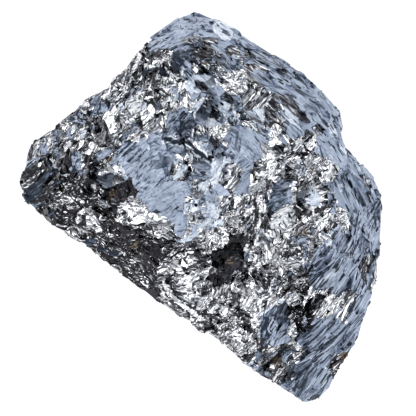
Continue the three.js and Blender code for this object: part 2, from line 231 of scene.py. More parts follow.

# %% [markdown]
# ## How each part of the lump breaks
#
# The melt froze from the mould wall inwards, so its crystals run one way in each part of the lump,
# and the break follows them. Each row below is a place on the top, in millimetres from the middle
# of the lump's box. It says which way the flakes run, how long and how wide they are, how far they
# tip, and how fibrous the metal is there: 0 is glassy and sparkling, 1 is fibrous and blue-grey.
# The last two numbers are the shares of flakes that shine white, with a painted highlight in their
# colour, and that stay dark, with painted shade in their colour. Angles are in degrees. One noise for
# the whole lump would be shorter, but it would break alike everywhere.

# %% Breaks
BREAKS = [
    # name, (x, y), reach, streak, stretch, flake, tip, fibrous, white, dark
    ("left tip", (-42, -29), 6, 62, 3.4, 2.0, 16, 0.75, 0.05, 0.70),
    ("tip dark", (-45.4, -29), 3.6, 62, 3.0, 2.4, 14, 0.50, 0.06, 0.70),
    ("left knob", (-46, -18), 4, 80, 1.6, 2.6, 20, 0.35, 0.15, 0.25),
    ("knob foot", (-43, -22), 3, 40, 1.6, 2.0, 24, 0.20, 0.25, 0.55),
    ("smooth left", (-36.4, -18.6), 4, 90, 1.5, 6.0, 5, 0.10, 0.00, 0.45),
    ("left low", (-37, -9), 6, 96, 2.8, 2.4, 20, 0.10, 0.30, 0.22),
    ("left face", (-33, -2), 8, 92, 2.2, 3.0, 24, 0.08, 0.38, 0.22),
    ("left foot", (-30.4, -12.4), 3.2, 92, 2.6, 2.6, 18, 0.30, 0.14, 0.45),
    ("left flakes", (-28, 2.6), 4.8, 88, 2.4, 4.0, 18, 0.05, 0.72, 0.12),
    ("left dusk", (-30.4, -0.2), 2.0, 88, 2.2, 2.6, 18, 0.10, 0.10, 0.60),
    ("rim whites", (-25.8, 9.2), 4.2, 100, 2.4, 3.2, 16, 0.10, 0.72, 0.08),
    ("left rim", (-41.5, -6), 5, 60, 2.0, 2.6, 18, 0.55, 0.05, 0.42),
    ("crest patch", (-34.6, 10.8), 1.8, 40, 1.5, 4.4, 6, 0.25, 0.00, 0.85),
    ("left crest", (-32, 14), 5, 100, 2.0, 2.6, 22, 0.05, 0.40, 0.28),
    ("top left rim", (-37, 24), 6, 70, 2.6, 4.0, 8, 1.00, 0.00, 0.32),
    ("top rim", (-28, 29), 7, 10, 2.4, 3.4, 10, 0.95, 0.02, 0.26),
    ("valley head", (-25.6, 21), 4.4, 10, 2.0, 2.2, 18, 0.50, 0.14, 0.56),
    ("valley top", (-20, 25.5), 4.6, -10, 2.2, 2.6, 16, 0.60, 0.12, 0.42),
    ("valley glints", (-16.0, 22.2), 4, 40, 1.7, 2.8, 18, 0.10, 0.85, 0.04),
    ("valley wall", (-29.4, 17.6), 3.6, -12, 2.6, 3.0, 12, 0.75, 0.02, 0.75),
    ("valley strip", (-22.6, 16.4), 3.6, -12, 2.6, 3.0, 12, 0.75, 0.24, 0.08),
    ("valley", (-18, 13), 6, -10, 2.6, 2.8, 14, 0.65, 0.26, 0.06),
    ("dark wall", (-20.8, 6.2), 4.4, 80, 2.2, 2.8, 10, 0.90, 0.02, 0.46),
    ("white blob", (-13, 8.5), 2.2, 80, 1.4, 3.4, 10, 0.10, 0.95, 0.00),
    ("valley foot", (-14.6, 5), 4.6, -30, 2.2, 3.0, 12, 0.60, 0.12, 0.28),
    ("far white", (-8, 21), 4.0, 84, 4.0, 2.8, 12, 0.00, 0.92, 0.04),
    ("far grey", (-5, 19), 6, -20, 2.6, 2.4, 18, 0.45, 0.26, 0.35),
    ("pale patch", (-4, 11), 5, -10, 2.2, 4.4, 7, 0.95, 0.05, 0.05),
    ("far rim", (-12, 29), 7, 0, 2.8, 2.6, 14, 0.80, 0.03, 0.32),
    ("far face", (4, 25), 8, -5, 3.4, 2.8, 12, 0.85, 0.06, 0.20),
    ("right rim", (14, 26), 6, -15, 3.0, 3.0, 10, 0.95, 0.04, 0.26),
    ("plateau", (-20, -7), 6, 88, 1.9, 5.0, 5, 1.00, 0.09, 0.00),
    ("plateau top", (-22, -1.6), 3.4, 60, 2.0, 4.0, 5, 1.00, 0.03, 0.00),
    ("plateau left", (-25.8, -7.4), 2.6, 75, 1.9, 3.6, 6, 1.00, 0.00, 0.40),
    ("plateau glints", (-14.6, -4.6), 3.4, 100, 2.2, 2.4, 18, 0.30, 0.50, 0.14),
    ("plateau foot", (-12, -12), 6, 70, 2.0, 4.2, 6, 0.95, 0.10, 0.06),
    ("plateau right", (-5.5, -8), 6, 60, 2.0, 2.8, 14, 0.65, 0.36, 0.05),
    ("plateau end", (-2, 2), 6, 75, 2.0, 4.0, 6, 0.95, 0.10, 0.06),
    ("middle left", (4, 5), 5, 85, 2.4, 2.6, 24, 0.05, 0.58, 0.18),
    ("round pit", (9.4, 5.8), 3.6, 60, 1.8, 2.8, 10, 0.75, 0.04, 0.50),
    ("middle far", (10, 15), 7, 75, 2.2, 2.8, 24, 0.10, 0.54, 0.22),
    ("middle bright", (15.5, 9), 5, 80, 2.2, 3.4, 20, 0.05, 0.85, 0.02),
    ("middle shine", (12.6, 10), 3.4, 78, 2.4, 3.6, 14, 0.05, 0.95, 0.00),
    ("middle shine right", (17.4, 3.6), 3.2, 78, 2.4, 3.6, 16, 0.05, 0.80, 0.00),
    ("middle shine low", (15.6, -3), 3.2, 88, 2.4, 3.4, 18, 0.05, 0.75, 0.05),
    ("groove", (8, -5), 3, 100, 3.0, 2.4, 14, 0.20, 0.12, 0.60),
    ("groove side", (2, -3), 5, 88, 2.4, 2.6, 20, 0.25, 0.52, 0.10),
    ("middle", (17, 2), 7, 70, 2.2, 2.6, 26, 0.05, 0.58, 0.20),
    ("middle foot", (16, -9), 6, 118, 2.6, 3.2, 20, 0.05, 0.60, 0.20),
    ("stained dusk", (20.6, -0.4), 2.4, 60, 2.0, 2.6, 14, 0.40, 0.10, 0.45),
    ("foot dusk", (22.2, -11.8), 2.8, 60, 2.2, 2.4, 18, 0.20, 0.18, 0.45),
    ("grey ring", (21, -4), 3.6, 60, 1.6, 3.2, 10, 0.30, 0.12, 0.30),
    ("dark hollow", (8.5, -14.8), 4.6, 50, 1.8, 2.6, 18, 0.05, 0.02, 1.00),
    ("hollow rim", (3.4, -12.2), 3.0, 70, 2.0, 2.8, 18, 0.10, 0.55, 0.14),
    ("hollow foot", (13.8, -17.6), 3.0, 60, 2.2, 2.4, 18, 0.10, 0.30, 0.42),
    ("hollow tail", (3.4, -18.8), 2.8, 50, 1.8, 2.4, 18, 0.05, 0.10, 0.75),
    ("bright flakes", (-17.4, -19.4), 4.2, 25, 1.9, 4.6, 12, 0.00, 0.86, 0.08),
    ("bright end", (-10.8, -17.8), 3.4, 35, 2.2, 4.2, 12, 0.00, 0.82, 0.10),
    ("dark triangle", (-23.6, -17.8), 3.3, 10, 1.8, 4.0, 8, 0.05, 0.00, 1.00),
    ("ravine", (-26.6, -15.4), 3.6, 20, 2.0, 2.4, 12, 0.60, 0.80, 0.00),
    ("band", (-31, -26), 8, 30, 2.0, 2.4, 22, 0.00, 0.12, 0.88),
    ("band whites", (-29.6, -25), 2.6, 60, 2.2, 3.0, 16, 0.00, 0.75, 0.20),
    ("band shards", (-24.4, -27), 2.6, 40, 2.2, 3.0, 16, 0.00, 0.65, 0.30),
    ("band middle", (-12, -26), 7, 50, 2.0, 2.4, 22, 0.00, 0.07, 0.92),
    ("band edge", (-12, -32), 9, 0, 3.0, 2.0, 20, 0.05, 0.07, 0.90),
    ("band swirl", (3, -24), 6, 62, 2.4, 2.8, 22, 0.00, 0.56, 0.24),
    ("white facets", (12, -24), 7, 88, 3.0, 3.6, 16, 0.00, 0.44, 0.32),
    ("low dusk", (15.6, -28.4), 2.8, 60, 2.2, 2.6, 18, 0.00, 0.20, 0.66),
    ("white corner", (19.5, -20), 4.4, 98, 2.4, 3.8, 14, 0.00, 0.66, 0.16),
    ("blotches", (21.6, -24.2), 3.8, 60, 1.6, 2.6, 20, 0.05, 0.20, 0.64),
    ("ring whites", (22.4, -29.2), 3.4, 60, 1.8, 2.6, 18, 0.05, 0.60, 0.20),
    ("right foot", (26, -9), 4, 50, 2.6, 2.6, 20, 0.10, 0.35, 0.38),
    ("foot whites", (28.6, -13.2), 2.6, 70, 2.6, 2.8, 16, 0.10, 0.72, 0.10),
    ("right middle", (23, 7), 7, 70, 2.6, 2.6, 20, 0.35, 0.42, 0.14),
    ("right dusk", (28.8, 5), 3.4, 80, 4.0, 2.4, 12, 0.80, 0.06, 0.34),
    ("upper right", (24, 19), 6, -30, 3.4, 2.6, 12, 0.85, 0.04, 0.32),
    ("right edge", (35, 12), 7, 100, 4.0, 2.2, 10, 0.95, 0.03, 0.42),
    ("right", (31, -3), 7.5, 86, 5.0, 2.0, 10, 1.00, 0.05, 0.38),
    ("right streaks", (35.5, -9), 4.6, 88, 5.0, 2.0, 16, 0.20, 0.60, 0.16),
    ("right glints", (40, 4), 4, 88, 4.0, 1.8, 18, 0.45, 0.22, 0.40),
    ("pocket", (31, -16.5), 3.6, 60, 2.4, 2.2, 16, 0.05, 0.06, 0.92),
    ("pocket flake", (31.6, -20.2), 1.8, 60, 1.4, 3.4, 4, 0.00, 1.00, 0.00),
    ("lower right", (28, -21), 5, 92, 5.0, 2.2, 9, 1.00, 0.02, 0.36),
    ("far right", (42, -17), 7, 82, 5.5, 1.8, 10, 1.00, 0.02, 0.42),
    ("rim facet", (46.4, -18.6), 3.8, 84, 2.0, 3.0, 12, 0.05, 0.06, 0.94),
    ("lowest tip", (43, -28), 7, 80, 4.5, 2.0, 10, 1.00, 0.02, 0.36),
    ("stained foot", (34, -28), 5, 75, 3.0, 2.0, 18, 0.25, 0.22, 0.52),
]
PLACES = np.array([row[1] for row in BREAKS], float)
BREAK_NUMBERS = np.array([row[2:] for row in BREAKS], float).T
REACH, STREAK, STRETCH, FLAKE, TIP, FIBROUS, WHITE, DARK = BREAK_NUMBERS


def break_of(places):
    """The row of BREAKS that rules each place. places are in millimetres."""
    gaps = np.linalg.norm(places[:, None, :2] - PLACES[None], axis=2) / REACH
    return gaps.argmin(1)


print("breaks:", len(BREAKS), "in use:", len(np.unique(break_of(points))))

# %% [markdown]
# ## Seams and stains
#
# A few long ridges and furrows cross many flakes, and the eye finds them first. Each seam is a line
# through some places, with half its width, its height, and how much lighter or darker it is painted:
# painted light on a ridge's top and painted shade in a furrow. A few spots are stained gold or
# red-brown by a film of oxide: each is a place and a radius. Both could be painted by hand on the
# mesh. Lists of places are easier to move and to change.

# %% Seams
SEAMS = [
    # name, places, half width, height, tone
    ("valley ledge", [(-21.5, 0), (-18.6, 1.6), (-16.2, 2.6), (-13, 2.4), (-9.9, 2.4)],
     0.55, -0.4, -0.8),
    ("valley rim", [(-28.5, 17), (-25.5, 10), (-25, 4), (-23, 0)], 0.35, 0.2, 0.25),
    ("groove", [(5.2, 0.8), (8.4, -3), (10.6, -7.6), (11.9, -11.4)], 0.50, -0.3, -0.40),
    ("edge ridge", [(-0.5, -29.3), (3.6, -30.6), (8.1, -30.7), (11.5, -30.8)], 0.55, 0.4, 1.3),
    ("ring", [(16.6, -25), (19, -23), (22, -22.7), (24.7, -23.9), (26.8, -27), (26.3, -30.4)],
     0.30, 0.3, 0.35),
    ("foot ridge", [(23.1, -21.8), (24.5, -17), (26, -11.3)], 0.30, 0.2, 0.35),
]
SEAM_END = 1.2
SEAM_REACH = 5.0
NARROWEST_SEAM = 0.3


def seams_at(places):
    """At each place: the distance to the nearest seam in half widths, its height and its tone.

    The distance has a sign, which says on which side of the seam the place lies.
    """
    nearest = np.full(len(places), SEAM_REACH)
    found = np.zeros((len(places), 3))
    found[:, 0] = SEAM_REACH / NARROWEST_SEAM
    for _, line, half_width, height, tone in SEAMS:
        line = np.array(line, float)
        last = len(line) - 2
        for k in range(len(line) - 1):
            along = line[k + 1] - line[k]
            length = np.linalg.norm(along)
            along = along / length
            offset = places[:, :2] - line[k]
            ahead = offset @ along
            side = offset[:, 1] * along[0] - offset[:, 0] * along[1]
            before = np.maximum(-ahead, 0)
            beyond = np.maximum(ahead - length, 0)
            gap = np.hypot(side, before + beyond)
            past_end = before * (k == 0) + beyond * (k == last)
            closer = gap < nearest
            nearest[closer] = gap[closer]
            strength = np.clip(1 - past_end / SEAM_END, 0, 1)
            values = np.stack([side / half_width, height * strength, tone * strength], 1)
            found[closer] = values[closer]
    return found.T


print("seams:", len(SEAMS), "points on one:", int((np.abs(seams_at(points)[0]) < 1).sum()))

# %% Stains
STAINS = [
    # x, y, radius
    (-32, 22.5, 1.3), (-28, 24.5, 1.3), (-24.5, 21.5, 1.5), (-29.5, -12, 1.0), (0.5, 19.5, 1.1),
    (20, 1, 2.0), (33, -28, 2.2), (9, -15, 1.1), (-24, -19, 1.4), (46.5, -17.5, 1.6), (-12, -26, 1.6),
]


def stain_at(places):
    """How stained each place is: 1 in the middle of a spot, and near 0 well outside it."""
    stain = np.zeros(len(places))
    for x, y, radius in STAINS:
        gap = (places[:, 0] - x) ** 2 + (places[:, 1] - y) ** 2
        stain = np.maximum(stain, np.exp(-gap / radius ** 2))
    return stain


print("stains:", len(STAINS), "points in one:", int((stain_at(points) > 0.5).sum()))

# %% [markdown]
# ## Grains and flakes
#
# A grain is one crystal of about 4 mm, and all of its flakes share one lean, so they flash together
# as the lump is turned. A flake is a thin plate along the streak. Each grain takes the row of
# BREAKS nearest to its seed, so the borders between the breaks run along grains. A row with a short
# reach is a patch of its own, with a rounded border. Where the metal is threaded, so fibrous or so
# drawn out that it looks like wood, the flakes of a whole row run side by side.

# %% Places as the flakes see them
THREADED = (FIBROUS > 0.7) | (STRETCH >= 4)
LONG_WAVE, SHORT_WAVE, DRIFT = 0.9, 0.25, 1.2
THREADED_WAVES = 0.2
GRAIN_SWING = 30
PLATE_DEPTH, THREAD_DEPTH = 0.8, 0.35


def wavy(places, amount=1.0):
    """Places shifted by smooth waves, so that what is straight in them comes out wavy."""
    long_waves = LONG_WAVE * ripple(places, wavelength=8, salt=11)
    short_waves = SHORT_WAVE * ripple(places, wavelength=2.2, salt=12)
    return places + amount * (long_waves + short_waves)


def streaming(places, rule):
    """Places as the flakes of a row see them: a slow drift, and waves, which threads have less of."""
    waves = np.where(THREADED[rule], THREADED_WAVES, 1.0)[:, None]
    return wavy(places, waves) + DRIFT * ripple(places, wavelength=26, salt=14)


def streak_places(places, rule, grain):
    """Places turned so that x runs with the flakes, and shortened along the streak."""
    swing = np.where(THREADED[rule], 0, GRAIN_SWING)
    turn = np.radians(STREAK[rule] + swing * (chances(grain, 1, salt=3)[:, 0] - 0.5))
    x = places[:, 0] * np.cos(turn) + places[:, 1] * np.sin(turn)
    y = places[:, 1] * np.cos(turn) - places[:, 0] * np.sin(turn)
    depth = places[:, 2] * np.where(THREADED[rule], THREAD_DEPTH, PLATE_DEPTH)
    return np.stack([x / STRETCH[rule], y, depth], 1)


print("threaded rows:", int(THREADED.sum()), "mean wave in mm:",
      round(float(np.linalg.norm(wavy(points) - points, axis=1).mean()), 2))

# %% The flake that each place lies in
GRAIN = 4.2
SMALL_REACH = 6
PATCH_WAVES = 0.35
GRAINS_APART = 60


def flakes_of(places):
    """The codes of each place's grain and flake, and its row of BREAKS."""
    grain, seed = crystals(wavy(places) / GRAIN, salt=1)
    rule = break_of(seed * GRAIN)
    rough = wavy(places, PATCH_WAVES)
    here = break_of(rough)
    gap = np.linalg.norm(rough[:, :2] - PLACES[here], axis=1)
    patch = (REACH[here] <= SMALL_REACH) & (gap < REACH[here])
    rule = np.where(patch, here, rule)
    grain = np.where(patch, mixed(grain + here.astype(np.uint32)), grain)
    grain = np.where(THREADED[rule], mixed(rule.astype(np.uint32)), grain)
    along = streak_places(streaming(places, rule), rule, grain) + GRAINS_APART * chances(grain, 3, salt=7)
    flake, _ = crystals(along / FLAKE[rule, None], salt=2)
    return grain, flake ^ grain, rule


flake = flakes_of(points)[1]
print("flakes that the skin's points lie in:", len(np.unique(flake)))

# %% [markdown]
# ## Cut the skin along the flakes' borders
#
# A flake's border is crisp on the metal, but the skin's triangles lie across it. A much finer mesh
# would hide that, at ten times the size. Instead each edge that joins two flakes is cut just where
# it crosses the border. The crossing is found by halving: is the middle still in the first flake?
# Six such questions place it within a hundredth of the edge's length.

# %% Cut at the borders
BISECTIONS = 6
SNAP = 0.2
FOOT = 0.05

edges, number = edges_of(triangles)
start_flake = flake[edges[:, 0]]
above_foot = points[edges, 2].min(1) > FOOT
crossing = np.flatnonzero((start_flake != flake[edges[:, 1]]) & above_foot)
low, high = np.zeros(len(crossing)), np.ones(len(crossing))
a, b = points[edges[crossing, 0]], points[edges[crossing, 1]]
for _ in range(BISECTIONS):
    half = (low + high) / 2
    inside = flakes_of(a + half[:, None] * (b - a))[1] == start_flake[crossing]
    low, high = np.where(inside, half, low), np.where(inside, high, half)
share = np.full(len(edges), 0.5)
share[crossing] = (low + high) / 2
cut = np.zeros(len(edges), bool)
cut[crossing] = np.abs(share[crossing] - 0.5) < 0.5 - SNAP
points, triangles = cut_edges(points, triangles, edges, number, cut, share)
print("cut", int(cut.sum()), "edges at flake borders:", len(triangles), "triangles")

# %% [markdown]
# ## Lay each flake flat
#
# Now every triangle belongs to one flake. Its points are moved along the flake's own direction
# until they lie on one plane, which leans with the grain and a little by itself. Leaning the
# shading alone would be quicker, but it leaves no edges, and the edges are what catches the light.
# The flakes that shine white are turned towards the nearest of the studio's lamps: each row of
# GLINTS is a direction that reflects a lamp into the camera.

# %% Flakes and their directions
centres = points[triangles].mean(1)
grain, flake, ruling = flakes_of(centres)
codes, first, group = np.unique(flake, return_index=True, return_inverse=True)
grain_of, rule = grain[first], ruling[first]
areas = face_normals(points, triangles)
size = np.linalg.norm(areas, axis=1)
luck = chances(codes, 6, salt=17)


def sums(values):
    """The sum of the triangles' values in each flake."""
    return np.stack([np.bincount(group, column) for column in np.atleast_2d(values.T)], 1)


outward = unit(sums(areas))
middle = sums(centres * size[:, None]) / sums(size[:, None])
print("flakes:", len(codes), "mean area mm2:", round(float(size.sum() / 2 / len(codes)), 2))

# %% How each flake leans
RELIEF = 0.5
GRAIN_LEAN = 0.7
LEAN = 1.5
MOST_TURN = 0.62
WHITE_LEAN = 0.22
GLINT_TILT = 18
GLINT_SIDES = np.radians([170, 80, 10, -85, -130, -40])
GLINT_RISE = np.full(len(GLINT_SIDES), 1 / math.tan(math.radians(GLINT_TILT)))
GLINTS = np.stack([np.cos(GLINT_SIDES), np.sin(GLINT_SIDES), GLINT_RISE], 1)
GLINTS = unit(np.concatenate([GLINTS, [(0, 0, 1)]]))

grain_share = np.where(THREADED[rule], 0.0, GRAIN_LEAN)[:, None]
lean = grain_share * (chances(grain_of, 3, salt=5) - 0.5) + (chances(codes, 3, salt=6) - 0.5)
lean = LEAN * np.tan(np.radians(TIP[rule]))[:, None] * lean
bright = luck[:, 0] > 1 - WHITE[rule]
glint = GLINTS[(outward @ GLINTS.T).argmax(1)] - outward
glint *= np.minimum(1, MOST_TURN / np.maximum(np.linalg.norm(glint, axis=1), 1e-6))[:, None]
lean = np.where(bright[:, None], glint + WHITE_LEAN * lean, lean)
lean -= outward * (lean * outward).sum(1)[:, None]
plane = unit(outward + RELIEF * lean)
print("white flakes:", int(bright.sum()), "mean lean in degrees:",
      round(float(np.degrees(np.arccos(np.clip((plane * outward).sum(1), -1, 1))).mean()), 1))

# %% [markdown]
# ## Move the points
#
# Neighbouring flakes are separate plates, so a point between two of them is needed twice, once on
# each plate's plane. Each pair of a point and a flake becomes a point of its own. A plate also
# stands a little higher or lower than its neighbours, and a seam raises or sinks what it crosses.
# No point moves by more than 0.6 mm plus the seam, and near the resting face nothing moves, so the
# lump still lies flat.

# %% Raise the flakes
LEDGE = 0.24
THREADED_LEDGE = 0.6
MOST = 0.6
SEAM_FOOT = 3
CALM_FOOT, FOOT_BLEND = 0.2, 2.5

step = LEDGE * (1 - THREADED_LEDGE * FIBROUS[rule]) * (chances(codes, 1, salt=13)[:, 0] - 0.5)
corner_point, corner_flake = triangles.ravel(), np.repeat(group, 3)
pairs, corner = np.unique(np.stack([corner_point, corner_flake], 1), axis=0, return_inverse=True)
corner = corner.reshape(-1, 3)
start, own = points[pairs[:, 0]], pairs[:, 1]
to_plane = ((middle[own] - start) * plane[own]).sum(1) / (outward[own] * plane[own]).sum(1)
away = np.clip(to_plane + step[own], -MOST, MOST)
seam_gap, seam_height, seam_painted_light = seams_at(start)
away += seam_height * np.clip((SEAM_FOOT - np.abs(seam_gap)) / 2, 0, 1)
away *= np.clip((start[:, 2] - CALM_FOOT) / FOOT_BLEND, 0, 1)
moved = start + outward[own] * away[:, None]
moved[:, 2] = np.maximum(moved[:, 2], 0)
print("points:", len(moved), "moved by up to", round(float(np.abs(away).max()), 2), "mm")

# %% [markdown]
# ## The left end's point
#
# The lump's left end runs out into a sharp point about 2 mm long, finer than the solid's triangles.
# A piece of its own would show a join. So the points there are pulled outwards, most at the tip
# and less and less around it, as with a soft brush in sculpting.

# %% Draw out the point
POINT = np.array([-44, -30.2])
POINT_PULL = np.array([-1.8, -0.9])
POINT_REACH = 3.0

pull = np.exp(-((moved[:, :2] - POINT) ** 2).sum(1) / POINT_REACH ** 2)
moved[:, :2] += pull[:, None] * POINT_PULL
print("furthest left in mm:", round(float(moved[:, 0].min()), 1))

# %% [markdown]
# ## Walls between the flakes
#
# The plates now float beside each other with open gaps. On the metal a gap is a ledge: a narrow
# broken wall from one plate's border to the next one's. Every edge that two flakes share gets two
# triangles from its one copy to the other, which closes the surface again.

# %% Join the flakes with walls
half_edges = np.stack([triangles, np.roll(triangles, -1, 1)], 2).reshape(-1, 2)
half_corners = np.stack([corner, np.roll(corner, -1, 1)], 2).reshape(-1, 2)
half_flake = np.repeat(group, 3)
order = np.lexsort((half_edges.min(1), half_edges.max(1)))
one, other = order[0::2], order[1::2]
parted = half_flake[one] != half_flake[other]
one, other = one[parted], other[parted]
walls = np.stack([half_corners[one, 1], half_corners[one, 0],
                  half_corners[other, 1], half_corners[other, 0]], 1)
faces = np.concatenate([corner, walls[:, [0, 1, 2]], walls[:, [0, 2, 3]]])
wall_flake = np.tile(half_flake[one], 2)
face_flake = np.concatenate([group, wall_flake])
is_wall = np.arange(len(faces)) >= len(triangles)
wall_places = np.tile(centres[one // 3], (2, 1))[:, None].repeat(3, 1)
face_places = np.concatenate([points[triangles], wall_places])
print("walls:", int(is_wall.sum()), "triangles, in all:", len(faces))

# %% [markdown]
# ## How bright each flake is
#
# Light alone doesn't give all the contrast of cleaved silicon, so each flake's colour gets a tone
# from 0, dark, to 1, white, and part of it is painted light: a white flake's tone is a painted
# highlight, as on a mirror that faces a lamp, and a dark flake's tone is painted shade, as in a
# hollow. It could come from a noise in the finish, but the shares of white and dark flakes in BREAKS
# are the easier handle. Each flake's luck decides whether it is white, dark or plain, and how much it
# differs from its like. A fibrous place has few truly dark flakes.

# %% Tone, fibre and crumple of each flake
CRUMPLED, LEAST_CRUMPLE, SMOOTH = 0.7, 0.6, 0.15
FIBROUS_SPARED, FEW_DARK = 0.75, 0.5
FIBROUS_LIFT = 0.12


def by_luck(least, spread):
    """A tone for each flake: the least one, and a spread that its luck adds to."""
    return least + spread * luck[:, 1]


fibrous = (luck[:, 2] < FIBROUS[rule]) * 1.0
# The dark flakes' tone is painted shade, and the white flakes' tone is a painted highlight.
painted_dark = luck[:, 0] < DARK[rule] * (1 - FIBROUS_SPARED * fibrous * (DARK[rule] < FEW_DARK))
painted_shade_tone = by_luck(least=0.38 - 0.40 * DARK[rule], spread=0.08) + FIBROUS_LIFT * fibrous
painted_highlight_tone = by_luck(least=0.78, spread=0.16)
plain_tone = np.where(fibrous > 0.5, by_luck(least=0.57, spread=0.08), by_luck(least=0.46, spread=0.22))
tone = np.where(painted_dark, painted_shade_tone, np.where(bright, painted_highlight_tone, plain_tone))
crumple = np.where(luck[:, 3] < CRUMPLED, LEAST_CRUMPLE + (1 - LEAST_CRUMPLE) * luck[:, 4], SMOOTH)
print("fibrous flakes:", int(fibrous.sum()), "dark:", int(painted_dark.sum()),
      "mean tone:", round(float(tone[group].mean()), 2))

# %% [markdown]
# ## The surface, and what it tells the finish
#
# The finish makes the smallest splinters, and it has to know what each face is. That is stored on
# the mesh as named attributes, which go with it wherever it goes. The places turned along the
# streak go on the face corners, with a jump from flake to flake, so that the splinters of one flake
# don't run on into the next. Seams and stains end 3 mm above the resting face. A flat pattern
# wrapped round the lump would stretch on its steep sides, and these numbers don't.

# %% The surface's mesh
mesh = bpy.data.meshes.new("silicon_surface")
mesh.from_pydata((moved * MM).tolist(), [], faces.tolist())


def store(name, values, on, kind="FLOAT"):
    """Keep a number or a direction for each point, corner or face, for the finish to read."""
    field = "value" if kind == "FLOAT" else "vector"
    mesh.attributes.new(name, kind, on).data.foreach_set(field, values.ravel())


print("mesh:", len(mesh.vertices), "points,", len(mesh.polygons), "faces")

# %% Store the flow on the corners
SPLINTER = 0.74
SHARD = 0.26
PATTERNS_APART = 40

of_corner = np.repeat(face_flake, 3)
row = rule[of_corner]
flow = streak_places(streaming(face_places.reshape(-1, 3), row), row, grain_of[of_corner])
own_pattern = np.where(fibrous > 0.5, rule.astype(np.uint32), codes)[of_corner]
splinter_width = np.where(fibrous > 0.5, SPLINTER, SHARD * FLAKE[rule])[of_corner, None]
flow = flow / splinter_width + PATTERNS_APART * chances(own_pattern, 3, salt=7)
store("flow", flow, "CORNER", "FLOAT_VECTOR")
print("mean splinter width in mm:", round(float(splinter_width.mean()), 2))

# %% Store the seams, stains and flakes
LOWEST_STAIN = 3
# The walls between flakes get only a share of their flake's tone, as painted shade on the ledges, and
# fibrous walls get a larger share.
WALL_PAINTED_SHADE, FIBROUS_WALL = 0.45, 0.4

on_top = start[:, 2] > LOWEST_STAIN
store("place", moved, "POINT", "FLOAT_VECTOR")
store("seam", seam_gap, "POINT")
# The seams' tone is painted light where it is above 0 and painted shade where it is below.
store("seam_painted_light", seam_painted_light * on_top, "POINT")
store("stain", stain_at(start) * on_top, "POINT")
more_lean = (1 - RELIEF) * lean[face_flake] * ~is_wall[:, None]
# The walls' darker tone is painted shade on the ledges between flakes.
wall_painted_shade = WALL_PAINTED_SHADE + FIBROUS_WALL * fibrous[face_flake]
store("lean", more_lean, "FACE", "FLOAT_VECTOR")
store("tone", tone[face_flake] * np.where(is_wall, wall_painted_shade, 1.0), "FACE")
store("fibrous", fibrous[face_flake], "FACE")
store("crumple", crumple[face_flake], "FACE")
store("shade", DARK[rule][face_flake], "FACE")
mesh.update()
surface = bpy.data.objects.new("silicon_surface", mesh)
bpy.context.scene.collection.objects.link(surface)
print("stored:", [kept.name for kept in mesh.attributes])

# %% [markdown]
# ## Helpers for the finish
#
# A finish is a tree of nodes, each a small step of reckoning on the surface. The tree could be
# drawn by hand in the shader editor. A script can be read, changed and run again, but each node
# takes it several lines, so a few helpers make a node, fill its inputs and hand on its output.

# %% Node helpers
silicon = bpy.data.materials.new("silicon")
silicon.use_nodes = True
tree = silicon.node_tree
shader = tree.nodes["Principled BSDF"]


def add_node(tree, kind, inputs=None, **settings):
    """A new node. Each of its inputs is a plain value or the output of another node."""
    node = tree.nodes.new(kind)
    for name, value in settings.items():
        setattr(node, name, value)
    for name, value in (inputs or {}).items():
        if isinstance(value, bpy.types.NodeSocket):
            tree.links.new(value, node.inputs[name])
        else:
            node.inputs[name].default_value = value
    return node


def math_node(tree, operation, first, second=0.0, clamp=False):
    """One step of arithmetic. A clamped result stays between 0 and 1."""
    node = add_node(tree, "ShaderNodeMath", {0: first, 1: second}, operation=operation, use_clamp=clamp)
    return node.outputs[0]


def vector_node(tree, operation, first, second=(0, 0, 0)):
    """One step of arithmetic on directions or places."""
    node = add_node(tree, "ShaderNodeVectorMath", {0: first, 1: second}, operation=operation)
    return node.outputs[0]


def scaled(tree, vector, factor):
    """A direction made longer or shorter."""
    node = add_node(tree, "ShaderNodeVectorMath", {0: vector, "Scale": factor}, operation="SCALE")
    return node.outputs[0]


def between(tree, value, low, high, to_low=0.0, to_high=1.0):
    """A number that goes from to_low to to_high while the value goes from low to high."""
    node = add_node(tree, "ShaderNodeMapRange", {0: value, 1: low, 2: high, 3: to_low, 4: to_high})
    return node.outputs[0]


print("new material:", silicon.name, "with", len(tree.nodes), "nodes")

# %% [markdown]
# ## What the finish reads
#
# The finish starts from what is stored on the mesh. Most of its numbers differ between glassy and
# fibrous metal, between light places and dark ones, or between dark flakes and white ones. One
# helper for each of these, and plain words for the sums, keep the later cells short.

# %% Read the flakes
def stored(name, output="Fac"):
    """A number or a direction that the mesh keeps."""
    return add_node(tree, "ShaderNodeAttribute", attribute_name=name).outputs[output]


flow_places = stored("flow", "Vector")
fibrous_share = stored("fibrous")
flake_tone = stored("tone")
crumpled = stored("crumple")
shade = stored("shade")


def plus(first, second):
    return math_node(tree, "ADD", first, second)


def minus(first, second):
    return math_node(tree, "SUBTRACT", first, second)


def times(first, second, clamp=False):
    return math_node(tree, "MULTIPLY", first, second, clamp)


def by_fibre(glassy, fibrous):
    """A number for glassy metal and one for fibrous metal."""
    return between(tree, fibrous_share, 0, 1, glassy, fibrous)


def by_shade(start, end, light, dark):
    """A number that goes from light places to dark ones, between two shares of dark flakes."""
    return between(tree, shade, start, end, light, dark)


def by_tone(start, end, darker, lighter):
    """A number that goes from darker flakes to lighter ones, between two tones."""
    return between(tree, flake_tone, start, end, darker, lighter)


print("nodes so far:", len(tree.nodes))

# %% [markdown]
# ## Splinters
#
# Silicon is a mirror-bright, slightly blue metalloid, and splinters under 1 mm do most of its
# sparkling. As geometry they would take millions of triangles. A bump map rounds them off, and they
# are flat. So cells stretched along the flow give each splinter a random colour, and that colour is
# used as a direction: it tips the normal, which makes each splinter a small flat mirror. The places
# are bent a little first, because no splinter is quite straight.

